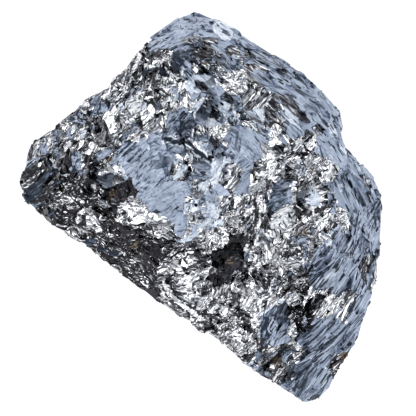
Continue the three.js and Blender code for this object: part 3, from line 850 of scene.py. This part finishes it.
# %% Bend the places along the flow
BEND_SCALE, BEND = 0.4, 0.8
SQUEEZE = (0.42, 1, 1)
NOISE_LOW, NOISE_HIGH = 0.27, 0.73


def centred(colour):
    """A random colour as a direction, with numbers from -0.5 to 0.5."""
    return vector_node(tree, "SUBTRACT", colour, (0.5, 0.5, 0.5))


def centred_noise(places, scale, detail, stretch):
    """Noise from -1 to 1, drawn out along the flow."""
    squeezed = vector_node(tree, "MULTIPLY", places, (1 / stretch, 1, 1))
    noise = add_node(tree, "ShaderNodeTexNoise", {"Vector": squeezed, "Scale": scale, "Detail": detail})
    return between(tree, noise.outputs["Fac"], NOISE_LOW, NOISE_HIGH, -1.0, 1.0)


wander = add_node(tree, "ShaderNodeTexNoise", {"Vector": flow_places, "Scale": BEND_SCALE, "Detail": 3.0})
wander = scaled(tree, centred(wander.outputs["Color"]), BEND)
bent_places = vector_node(tree, "ADD", flow_places, wander)
print("nodes so far:", len(tree.nodes))

# %% Splinters that tip the normal
FINE = 0.45
COARSE_TIP, FINE_TIP = 0.35, 1.25


def splinters(size):
    """A random direction for each splinter."""
    squeezed = vector_node(tree, "MULTIPLY", bent_places, SQUEEZE)
    cells = add_node(tree, "ShaderNodeTexVoronoi", {"Vector": squeezed, "Scale": 1 / size})
    return centred(cells.outputs["Color"])


facing = add_node(tree, "ShaderNodeNewGeometry").outputs["Normal"]
facing = vector_node(tree, "ADD", facing, stored("lean", "Vector"))
coarse, fine = splinters(1.0), splinters(FINE)
tips = vector_node(tree, "ADD", scaled(tree, coarse, COARSE_TIP), scaled(tree, fine, FINE_TIP))
tip_strength = times(crumpled, by_fibre(glassy=0.42, fibrous=0.14))
tip_strength = times(tip_strength, by_tone(0.70, 0.85, darker=1.0, lighter=0.75))
tipped = vector_node(tree, "ADD", facing, scaled(tree, tips, tip_strength))
tipped = vector_node(tree, "NORMALIZE", tipped)
print("nodes so far:", len(tree.nodes))

# %% [markdown]
# ## Light and dark splinters
#
# Real splinters also differ in tone, because each reflects another part of the room. The studio
# here is plainer than a room, so each splinter's random colour also makes it lighter or darker.
# Strands along the flow join some splinters into threads. White flakes and very dark ones are
# evener than the rest. A fine grit, which doesn't follow the flow, covers all of it.

# %% Tone of the splinters and the grit
GRIT = 0.42
COARSE_CHANGE, FINE_CHANGE, STRAND_CHANGE = 0.25, 1.10, 0.40


def channel(colour, axis):
    """One of the three numbers of a colour or a direction."""
    return add_node(tree, "ShaderNodeSeparateXYZ", {0: colour}).outputs[axis]


fine_tone = channel(fine, "Y")
strands = centred_noise(bent_places, scale=1.25, detail=1.0, stretch=2.6)
change = plus(times(channel(coarse, "X"), COARSE_CHANGE), times(fine_tone, FINE_CHANGE))
change = plus(change, times(strands, STRAND_CHANGE))
change_strength = times(crumpled, by_fibre(glassy=1.0, fibrous=0.20))
change_strength = times(change_strength, by_tone(0.1, 0.3, darker=0.50, lighter=1.0))
change_strength = times(change_strength, by_tone(0.70, 0.85, darker=1.0, lighter=0.60))
tone = plus(flake_tone, times(change, change_strength))

real_places = stored("place", "Vector")
grit_cells = add_node(tree, "ShaderNodeTexVoronoi", {"Vector": real_places, "Scale": 1 / GRIT})
grit_tone = channel(centred(grit_cells.outputs["Color"]), "X")
tone = plus(tone, times(grit_tone, by_fibre(glassy=0.20, fibrous=0.13)))
print("nodes so far:", len(tree.nodes))

# %% [markdown]
# ## Slits, pits and glints
#
# Between splinters there are black slits, in fibrous metal some coarse ones have broken out and
# left pits, and a few splinters flash. Each could be scattered as small objects. Here a splinter's
# own random number decides: below a share it is a slit or a pit, whose dark tone is painted shade,
# and above another it is a glint, whose light tone is a painted highlight. Dark places have more
# slits, and they come in crowds.

# %% Slits, pits and glints
SLIT_CROWDS = 0.10

slit_chance = channel(fine, "Z")
crowds = centred_noise(bent_places, scale=0.16, detail=1.0, stretch=1.6)
slit_share = plus(by_shade(0, 0.6, light=-0.47, dark=-0.23), times(crowds, SLIT_CROWDS))
slit_shade = math_node(tree, "LESS_THAN", slit_chance, slit_share)
slit_shade = times(slit_shade, by_fibre(glassy=0.45, fibrous=0.62))
slit_shade = times(slit_shade, by_shade(0.05, 0.25, light=0.7, dark=1.0))
pit_share = by_shade(0, 0.4, light=-0.50, dark=-0.43)
pit_shade = math_node(tree, "LESS_THAN", channel(coarse, "Z"), pit_share)
# Slits and pits darken the tone: painted shade.
tone = minus(minus(tone, times(pit_shade, by_fibre(glassy=0.0, fibrous=0.45))), slit_shade)

glint_share = by_shade(0.1, 0.8, light=0.46, dark=0.38)
glints = math_node(tree, "GREATER_THAN", slit_chance, glint_share)
glint_height = times(by_shade(0.6, 0.9, light=0.50, dark=0.85), by_fibre(glassy=1.0, fibrous=0.2))
glint_height = times(glint_height, by_shade(0.94, 1.0, light=1.0, dark=0.3))
# Glints lighten the tone: painted highlights.
tone = plus(tone, times(glints, glint_height))
print("nodes so far:", len(tree.nodes))

# %% [markdown]
# ## Dark streaks
#
# Fibrous silicon looks combed: dark streaks run with it, some broad and some fine. They are the
# shadows between its fibres. Noise that is drawn out along the flow gives them, and only its highest
# parts count, so that they have sharp ends. A wave texture would make them all alike.

# %% Streaks along the flow
SHARP = 9.0
THIN_STREAKS = 0.28

crowding = times(crowds, by_shade(0, 0.3, light=0.10, dark=0.35))


def streaks(noise, start):
    """1 where the noise is well above its start, and 0 below it."""
    return times(minus(noise, minus(start, crowding)), SHARP, clamp=True)


broad = streaks(centred_noise(bent_places, scale=0.5, detail=3.0, stretch=1.8),
                by_shade(0, 0.6, light=0.80, dark=0.10))
tone = minus(tone, times(broad, by_fibre(glassy=0.20, fibrous=0.24)))
thin = streaks(centred_noise(bent_places, scale=1.15, detail=1.0, stretch=2.2),
               by_shade(0, 0.6, light=0.75, dark=0.25))
tone = minus(tone, times(thin, times(fibrous_share, THIN_STREAKS)))
print("nodes so far:", len(tree.nodes))

# %% [markdown]
# ## Cracks and hairs
#
# Glassy silicon is full of hairline cracks. Cut into the mesh they would be too thin for its
# triangles. The borders of the coarse splinters are lines already, so they are darkened, as painted
# shade in the cracks, where a slow noise says that the metal is broken. Hairs, dark and bright,
# follow the flow: the dark ones are painted shade and the bright ones painted highlights. They are
# the places where another noise passes through zero.

# %% Cracks and hairs
FINER_HAIR_SHADE = 0.6


def hairs(scale, width, stretch):
    """1 on thin lines along the flow, 0 away from them."""
    gap = math_node(tree, "ABSOLUTE", centred_noise(bent_places, scale, 1.0, stretch))
    away = math_node(tree, "DIVIDE", gap, width, clamp=True)
    return math_node(tree, "SUBTRACT", 1.0, away, clamp=True)


patches = centred_noise(bent_places, scale=0.7, detail=1.0, stretch=1.5)


def by_patch(start, end, low, high):
    """A number that changes from patch to patch, where a slow noise goes from start to end."""
    return between(tree, patches, start, end, low, high)


squeezed_places = vector_node(tree, "MULTIPLY", bent_places, SQUEEZE)
to_border = add_node(tree, "ShaderNodeTexVoronoi", {"Vector": squeezed_places, "Scale": 1.0},
                     feature="DISTANCE_TO_EDGE").outputs["Distance"]
crack_shade = times(between(tree, to_border, 0.03, 0.15, 1.0, 0.0), by_patch(-0.3, 0.1, low=0.45, high=0.10))
# Cracks darken the tone: painted shade.
tone = minus(tone, times(crack_shade, by_fibre(glassy=1.0, fibrous=0.3)))

finer_hair_shade = times(hairs(scale=0.9, width=0.35, stretch=4.0), FINER_HAIR_SHADE)
hair_shade = plus(hairs(scale=0.5, width=0.28, stretch=4.0), finer_hair_shade)
hair_shade = times(hair_shade, by_patch(-0.4, 0.2, low=0.0, high=0.50))
hair_shade = times(hair_shade, by_fibre(glassy=1.0, fibrous=0.5))
hair_highlights = hairs(scale=0.6, width=0.30, stretch=3.6)
hair_highlights = times(hair_highlights, by_patch(-0.2, 0.4, low=0.40, high=0.0))
hair_highlights = times(hair_highlights, by_fibre(glassy=1.0, fibrous=0.2))
hair_highlights = times(hair_highlights, by_shade(0.6, 1.0, light=1.0, dark=0.35))
# Bright hairs lighten the tone as painted highlights, and dark hairs darken it as painted shade.
tone = minus(plus(tone, hair_highlights), hair_shade)
print("nodes so far:", len(tree.nodes))

# %% [markdown]
# ## Seams in the finish
#
# The long ridges and furrows are in the mesh already, but a ridge's top catches the light and its
# foot is in shade, and the finish paints both. The mesh keeps the distance to the seam in half
# widths. One step paints the seam lighter, as painted light, or darker, as painted shade, by the sign
# of its tone, and a second one gives it a thin edge of the opposite tone. The splinters' noise is
# added to the distance, so that the edge isn't ruled like a line.

# %% Tone of the seams
STRAND_WANDER, PATCH_WANDER = 0.5, 0.7
SEAM_EDGE = -0.6

seam_distance = plus(stored("seam"), times(strands, STRAND_WANDER))
seam_distance = math_node(tree, "ABSOLUTE", plus(seam_distance, times(patches, PATCH_WANDER)))
seam_light_and_shade = minus(between(tree, seam_distance, 0.7, 1.3, 1.0, SEAM_EDGE),
                    between(tree, seam_distance, 1.8, 2.6, 0.0, SEAM_EDGE))
# The seam's painted light and painted shade go into the tone.
tone = plus(tone, times(seam_light_and_shade, stored("seam_painted_light")))
print("nodes so far:", len(tree.nodes))

# %% [markdown]
# ## The metal's colours
#
# All of these steps have made one number, the tone. Two ramps turn it into colour: a neutral one
# for glassy metal, nearly black to nearly white, and a blue-grey one for fibrous metal, which is
# bluest in its middle tones. A single ramp with a blue tint would make the mirrors blue too.

# %% From tone to colour
GLASSY = [(0.0, (0.027, 0.026, 0.029)), (0.25, (0.112, 0.115, 0.127)), (0.55, (0.33, 0.34, 0.37)),
          (0.85, (0.82, 0.83, 0.85)), (1.0, (0.95, 0.95, 0.95))]
FIBRE = [(0.0, (0.032, 0.040, 0.054)), (0.25, (0.12, 0.15, 0.21)), (0.45, (0.33, 0.38, 0.48)),
         (0.65, (0.44, 0.50, 0.61)), (1.0, (0.92, 0.96, 1.0))]


def blend_colours(tree, amount, first, second, blend_type="MIX"):
    """Two colours, mixed by an amount from 0 to 1."""
    node = add_node(tree, "ShaderNodeMix", {0: amount, 6: first, 7: second},
                    data_type="RGBA", blend_type=blend_type)
    return node.outputs[2]


def ramp(tree, value, stops):
    """A colour looked up in a row of stops, each with its place and its colour."""
    node = add_node(tree, "ShaderNodeValToRGB", {0: value})
    while len(node.color_ramp.elements) < len(stops):
        node.color_ramp.elements.new(0.5)
    for stop, (place, colour) in zip(node.color_ramp.elements, stops):
        stop.position = place
        stop.color = (*colour, 1)
    return node.outputs["Color"]


body = blend_colours(tree, fibrous_share, ramp(tree, tone, GLASSY), ramp(tree, tone, FIBRE))
print("colour stops:", len(GLASSY) + len(FIBRE))

# %% [markdown]
# ## Films of oxide
#
# Where the hot metal met air or slag, a thin film of oxide has stained it gold or red-brown. The
# spots of STAINS are round, so noise is added before they are cut off, which leaves a ragged blot.
# Splinters take one colour or the other by their own random number.

# %% Stain the spots
RED_BROWN, GOLD = (0.10, 0.045, 0.035, 1), (0.22, 0.17, 0.09, 1)
RAGGED = 0.55
STAIN_FROM, STAIN_FULL, MOST_STAIN = 0.62, 0.85, 0.60

stain_noise = centred_noise(bent_places, scale=0.9, detail=3.0, stretch=1.5)
stain = plus(stored("stain"), times(stain_noise, RAGGED))
stain = between(tree, stain, STAIN_FROM, STAIN_FULL, 0.0, MOST_STAIN)
film = blend_colours(tree, between(tree, fine_tone, -0.2, 0.2), RED_BROWN, GOLD)
body = blend_colours(tree, stain, body, film)
print("nodes so far:", len(tree.nodes))

# %% [markdown]
# ## Gloss
#
# Glassy metal mirrors the lamps sharply, and fibrous metal is satin, because its fibres are too
# fine to see one by one. So the roughness follows the fibre. A weak bump of fine noise takes the
# last plastic smoothness off both. It starts from the tipped normal, not from the plain one, or the
# splinters would be lost.

# %% Roughness, bump and the finished material
GLASSY_ROUGH, FIBROUS_ROUGH = 0.14, 0.50
BUMP, BUMP_DEPTH = 0.12, 0.25 * MM

roughness = by_fibre(GLASSY_ROUGH, FIBROUS_ROUGH)
fuzz = add_node(tree, "ShaderNodeTexNoise", {"Vector": bent_places, "Scale": 3.0, "Detail": 4.0})
bump = add_node(tree, "ShaderNodeBump", {"Height": fuzz.outputs["Fac"], "Normal": tipped,
                                          "Strength": BUMP, "Distance": BUMP_DEPTH})
tree.links.new(body, shader.inputs["Base Color"])
tree.links.new(roughness, shader.inputs["Roughness"])
tree.links.new(bump.outputs["Normal"], shader.inputs["Normal"])
shader.inputs["Metallic"].default_value = 1.0
print("finish:", len(tree.nodes), "nodes")

# %% [markdown]
# ## Put the surface in the solid's place
#
# The surface has the solid's shape with all of its flakes, so it stands for the solid in every
# view. Showing both would let one poke through the other. The solid stays behind it, hidden, for
# the collision checks, and the surface rides on the same body.

# %% Replace the solid
mesh.materials.append(silicon)
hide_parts("silicon_lump")
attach(surface, "root")
print("in place:", surface.name, "with", len(mesh.polygons), "faces")

# %% [markdown]
# ## The floor
#
# The lump lies on plain white paper. A large flat sheet is enough. Paper under a lamp can come out
# grey, so it also glows a little by itself, which keeps it white all round and the lump's shadow
# soft.

# %% White paper
FLOOR_REACH = 1.5

floor_corners = [(x * FLOOR_REACH, y * FLOOR_REACH, 0) for x, y in ((-1, -1), (1, -1), (1, 1), (-1, 1))]
floor_mesh = bpy.data.meshes.new("floor")
floor_mesh.from_pydata(floor_corners, [], [(0, 1, 2, 3)])
floor = bpy.data.objects.new("floor", floor_mesh)
bpy.context.scene.collection.objects.link(floor)
paper = bpy.data.materials.new("white paper")
paper.use_nodes = True
paper_shader = paper.node_tree.nodes["Principled BSDF"]
paper_shader.inputs["Base Color"].default_value = (0.55, 0.55, 0.55, 1)
paper_shader.inputs["Roughness"].default_value = 0.9
paper_shader.inputs["Specular IOR Level"].default_value = 0.0
paper_shader.inputs["Emission Color"].default_value = (1, 1, 1, 1)
paper_shader.inputs["Emission Strength"].default_value = 0.7
floor_mesh.materials.append(paper)
print("floor in metres:", 2 * FLOOR_REACH)

# %% [markdown]
# ## Lamps
#
# A mirror shows what is around it, so a lump of mirrors is lit less by the lamps' strength than by
# their place and size. Six soft boxes stand round it, and each one lights up the flakes that lean
# towards it. One large box would turn half of the lump white at once, and point lamps would leave
# only dots. The strength of each is given as its radiance, which is how bright its face looks.

# %% Soft boxes
LAMP_DISTANCE = 0.6
LAMPS = [
    # name, towards in plan, angle from straight up, width, height, radiance
    ("left box", 170, 34, 0.36, 0.26, 1.9),
    ("upper box", 80, 44, 0.30, 0.12, 1.9),
    ("right box", 10, 38, 0.30, 0.22, 1.9),
    ("low box", -85, 62, 0.40, 0.20, 2.0),
    ("lower left box", -130, 36, 0.18, 0.20, 1.9),
    ("lower right box", -40, 34, 0.20, 0.24, 1.9),
]
for name, towards, from_up, width, height, radiance in LAMPS:
    lamp = bpy.data.lights.new(name, "AREA")
    lamp.shape = "RECTANGLE"
    lamp.size = width
    lamp.size_y = height
    lamp.energy = radiance * math.pi * width * height
    lamp_object = bpy.data.objects.new(name, lamp)
    towards, from_up = math.radians(towards), math.radians(from_up)
    lamp_way = Vector((math.sin(from_up) * math.cos(towards),
                       math.sin(from_up) * math.sin(towards),
                       math.cos(from_up)))
    lamp_object.location = lamp_way * LAMP_DISTANCE
    lamp_object.rotation_mode = "QUATERNION"
    lamp_object.rotation_quaternion = lamp_way.to_track_quat("Z", "Y")
    lamp_object.visible_camera = False
    bpy.context.scene.collection.objects.link(lamp_object)
print("lamps:", len(LAMPS))

# %% [markdown]
# ## The studio's walls
#
# Between the lamps, the flakes mirror the room. Its walls are pale low down, darker above, and
# bright again straight overhead, which is what gives the level fibrous flakes their even blue-grey.
# The far wall is a little lighter. A scan of a real studio would do too, but a ramp over the height
# needs no file, and each of its stops can be tried by itself.

# %% Walls and ceiling
HEIGHTS = [
    (0.00, (1.04, 1.07, 1.10)),
    (0.35, (1.02, 1.05, 1.09)),
    (0.52, (0.52, 0.535, 0.565)),
    (0.93, (0.46, 0.465, 0.48)),
    (0.975, (0.92, 0.96, 1.00)),
    (1.00, (1.02, 1.05, 1.09)),
]
FAR_WALL = (0.50, 0.53, 0.57, 1)

world = bpy.data.worlds.new("studio")
bpy.context.scene.world = world
world.use_nodes = True
sky = world.node_tree
direction = add_node(sky, "ShaderNodeTexCoord").outputs["Generated"]
axes = add_node(sky, "ShaderNodeSeparateXYZ", {0: direction})
walls_glow = ramp(sky, axes.outputs["Z"], HEIGHTS)
far_glow = blend_colours(sky, between(sky, axes.outputs["Y"], -0.05, 0.35), (0, 0, 0, 1), FAR_WALL)
room = blend_colours(sky, 1.0, walls_glow, far_glow, "LIGHTEN")
sky.links.new(room, sky.nodes["Background"].inputs["Color"])
print("world:", len(sky.nodes), "nodes")

# %% [markdown]
# ## The camera
#
# The camera looks straight down from 1.2 m, far enough for the lump's outline to stay true, and it
# is rolled so that the straight mould-side edge runs diagonally. Its lens follows from the width
# that it takes in at the middle of the top, so a change of height keeps the framing. The Standard
# view transform shows colours as they are, where a filmic one would grey the whites.

# %% Camera and view
VIEW_WIDTH = 104.2 * MM
CAMERA_HEIGHT = 1.2
TOP_HEIGHT = 18 * MM
AIM = Vector((-3.0, -7.6, 0)) * MM
ROLL = math.radians(36)
SENSOR = 36

camera = bpy.data.cameras.new("camera")
camera.sensor_width = SENSOR
camera.lens = SENSOR * (CAMERA_HEIGHT - TOP_HEIGHT) / VIEW_WIDTH
camera_object = bpy.data.objects.new("camera", camera)
camera_place = Matrix.Translation(AIM + Vector((0, 0, CAMERA_HEIGHT)))
camera_object.matrix_world = camera_place @ Matrix.Rotation(ROLL, 4, "Z")
bpy.context.scene.collection.objects.link(camera_object)
bpy.context.scene.camera = camera_object
bpy.context.scene.view_settings.view_transform = "Standard"
print("lens in mm:", round(camera.lens, 1))
